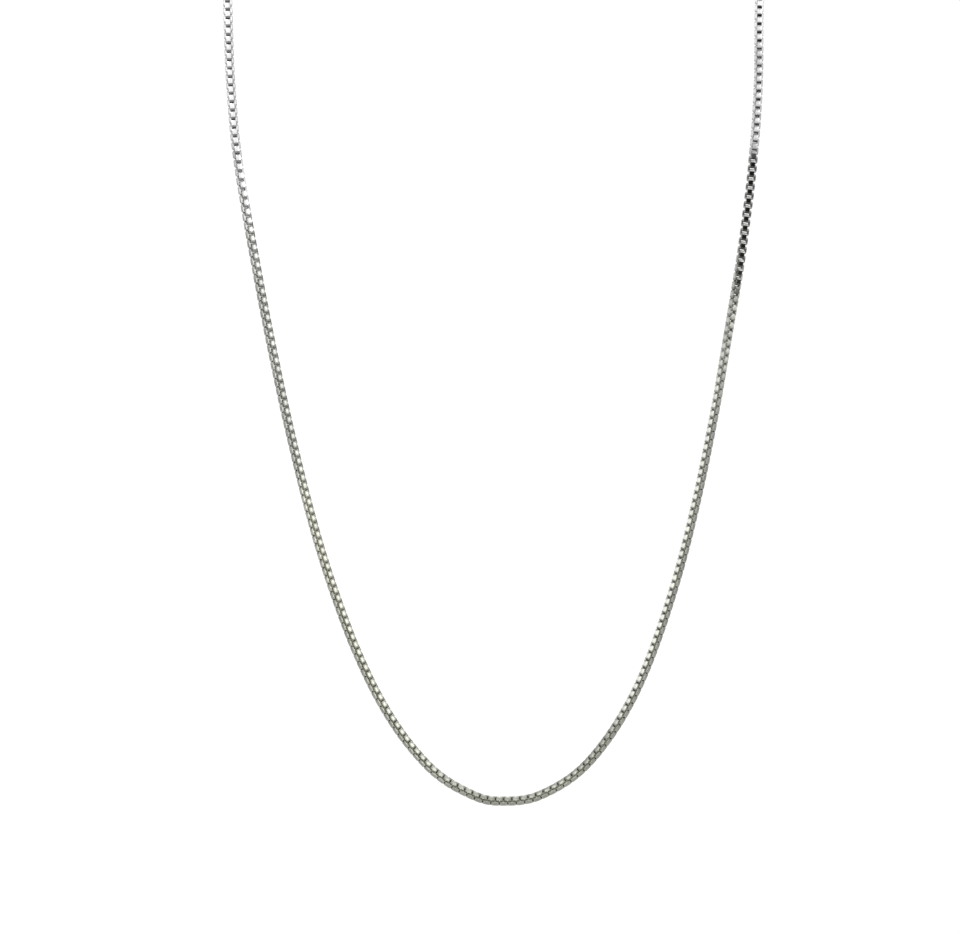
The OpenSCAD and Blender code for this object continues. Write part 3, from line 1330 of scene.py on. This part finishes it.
@dataclass(frozen=True)
class PaleFloor:
    """A pale round floor that fades out into the pale surroundings.

    Args:
        height: how high it lies.
        radius: how far it reaches.
        sides: number of its sides.
        solid: share of its radius within which it doesn't fade.
        tones: its darkest and its palest colour.
        grain_scale: how fine its grain is.
        grain_detail: how ragged the grain is.
        roughness: its roughness.
    """

    height: float = -0.30
    radius: float = 0.62
    sides: int = 96
    solid: float = 0.45
    tones: tuple[Color, Color] = ((0.80, 0.80, 0.79), (0.84, 0.84, 0.83))
    grain_scale: float = 30.0
    grain_detail: float = 4.0
    roughness: float = 0.9

    def lay(self, forward: float) -> None:
        """Lays the floor.

        Args:
            forward: where its middle lies, from front to back.
        """
        deselect()
        middle = (0.0, forward, self.height)
        bpy.ops.mesh.primitive_circle_add(
            vertices=self.sides, radius=self.radius, fill_type="NGON", location=middle
        )
        floor = bpy.context.object
        floor.name = "floor"
        floor.data.materials.append(self._finish())

    def _finish(self) -> bpy.types.Material:
        """Makes the floor's material.

        Returns:
            The material.
        """
        material = bpy.data.materials.new("pale_floor")
        material.use_nodes = True
        maker = NodeMaker(material.node_tree)
        place = maker.add("ShaderNodeTexCoord").outputs["Object"]
        grain = maker.add(
            "ShaderNodeTexNoise", Vector=place, Scale=self.grain_scale, Detail=self.grain_detail
        ).outputs[0]
        away = maker.add("ShaderNodeVectorMath", operation="LENGTH")
        maker.set(away, {0: place})
        solid = self.radius * self.solid
        maker.set(material.node_tree.nodes["Principled BSDF"], {
            "Base Color": maker.mix("MIX", grain, *(rgba(tone) for tone in self.tones)),
            "Roughness": self.roughness,
            "Alpha": maker.fade(away.outputs["Value"], (solid, 1.0), (self.radius, 0.0)),
        })
        return material


@dataclass(frozen=True)
class Surroundings:
    """The surroundings: white to the eye, and to the silver bright above and dim below.

    Args:
        seen: the colour that the camera sees.
        seen_strength: how bright that is.
        felt: heights, from 0 straight below to 1 straight above, and the colour that the
            silver sees there.
        felt_strength: how bright that is.
    """

    seen: Color = (1.0, 1.0, 1.0)
    seen_strength: float = 1.05
    felt: tuple[tuple[float, Color], ...] = (
        (0.0, (0.40, 0.40, 0.39)), (0.30, (0.44, 0.44, 0.43)), (0.40, (0.52, 0.52, 0.51)),
        (0.46, (0.78, 0.78, 0.78)), (0.50, (1.00, 1.00, 1.00)), (1.0, (1.10, 1.10, 1.10)),
    )
    felt_strength: float = 1.0

    def set_up(self) -> None:
        """Makes the world and gives it to the scene."""
        world = bpy.data.worlds.new("studio")
        bpy.context.scene.world = world
        world.use_nodes = True
        world.node_tree.nodes.clear()
        maker = NodeMaker(world.node_tree)
        place = maker.add("ShaderNodeTexCoord").outputs["Generated"]
        height = maker.add("ShaderNodeSeparateXYZ", Vector=place).outputs[2]
        ramp = maker.add("ShaderNodeValToRGB", Fac=maker.math("MULTIPLY_ADD", height, 0.5, 0.5))
        elements = ramp.color_ramp.elements
        while len(elements) < len(self.felt):
            elements.new(0.5)
        for element, (at, tone) in zip(elements, self.felt):
            element.position, element.color = at, rgba(tone)
        seen = maker.add("ShaderNodeBackground", Color=rgba(self.seen), Strength=self.seen_strength)
        felt = maker.add("ShaderNodeBackground", Color=ramp.outputs[0], Strength=self.felt_strength)
        to_camera = maker.add("ShaderNodeLightPath").outputs["Is Camera Ray"]
        both = maker.add("ShaderNodeMixShader")
        maker.set(both, {0: to_camera, 1: felt.outputs[0], 2: seen.outputs[0]})
        maker.set(maker.add("ShaderNodeOutputWorld"), {"Surface": both.outputs[0]})


@dataclass
class Studio:
    """The floor, the surroundings, the lights and the camera.

    Args:
        front: how far forward the front of the chain hangs.
        distance: from there to the camera.
        frame_width: width of the picture at the front of the chain.
        frame_middle: middle of the picture, across and up.
        sensor: width of the camera's sensor, in millimetres.
        reach: how near and how far the camera sees.
        floor: the floor.
        surroundings: the surroundings.
        lamps: the lights.
    """

    front: float = -0.0635
    distance: float = 0.8
    frame_width: float = 0.204
    frame_middle: tuple[float, float] = (-0.002975, -0.12381)
    sensor: float = 36.0
    reach: tuple[float, float] = (0.01, 20.0)
    floor: PaleFloor = PaleFloor()
    surroundings: Surroundings = Surroundings()
    lamps: tuple[Lamp, ...] = (
        Lamp("key_light", (-0.55, -0.85, 0.75), 0.7, 5.0),
        Lamp("fill_light", (0.85, -0.60, 0.35), 0.7, 3.0),
        Lamp("top_light", (0.1, 0.35, 1.0), 0.8, 4.0),
    )

    def build(self) -> None:
        """Builds the whole studio."""
        self.place_camera()
        self.floor.lay(self.front / 2)
        self.surroundings.set_up()
        target = Vector((0.0, self.front / 2, self.frame_middle[1]))
        for lamp in self.lamps:
            lamp.hang(target)
        bpy.context.scene.view_settings.view_transform = "Standard"
        LOG.info("studio: floor, surroundings, camera and %d lights", len(self.lamps))

    def place_camera(self) -> None:
        """Places the camera level in front of the necklace."""
        data = bpy.data.cameras.new("camera")
        data.sensor_width = self.sensor
        data.lens = self.sensor * self.distance / self.frame_width
        data.clip_start, data.clip_end = self.reach
        camera = bpy.data.objects.new("camera", data)
        across, up = self.frame_middle
        camera.location = (across, self.front - self.distance, up)
        camera.rotation_euler = (math.pi / 2, 0.0, 0.0)
        bpy.context.collection.objects.link(camera)
        bpy.context.scene.camera = camera


def main() -> None:
    """Builds the necklace and its studio, in order."""
    logging.basicConfig(level=logging.INFO, format="%(name)s: %(message)s")
    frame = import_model()
    Studio().build()
    groups = SilverGroups(SilverSurface())
    chain_silver = ChainSilver(
        name="chain_silver", tone=(0.95, 0.95, 0.95), warm_tone=(0.925, 0.935, 0.81),
        smooth=0.16, dull=0.42, scratch_scale=4500.0, scratch_depth=0.0000004,
    ).make(groups)
    end_link_silver = FittingSilver(
        name="end_link_silver", tone=(0.95, 0.945, 0.93), warm_tone=(0.90, 0.89, 0.80),
        smooth=0.18, dull=0.45, scratch_scale=3000.0, scratch_depth=0.000001,
        seams=(0.0082, 0.01005), seam_reach=0.0006, seam_polish=0.2,
    ).make(groups)
    fitting_silver = FittingSilver(
        name="fitting_silver", tone=(0.95, 0.945, 0.93), warm_tone=(0.91, 0.90, 0.83),
        smooth=0.12, dull=0.40, scratch_scale=2500.0, scratch_depth=0.000001,
        seams=(0.0046, 0.0089), seam_reach=0.0007, seam_polish=0.25,
    ).make(groups)
    chain = Chain(ChainRoute(LoopSizes()), BoxLink(), Hang(), PaintedShadeAndTint()).build("chain_links")
    chain.data.materials.append(chain_silver)
    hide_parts("chain")
    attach(chain, "root")
    Fittings().dress(frame, {Slot.CHAIN: end_link_silver, Slot.FITTING: fitting_silver})


if __name__ == "__main__":
    main()
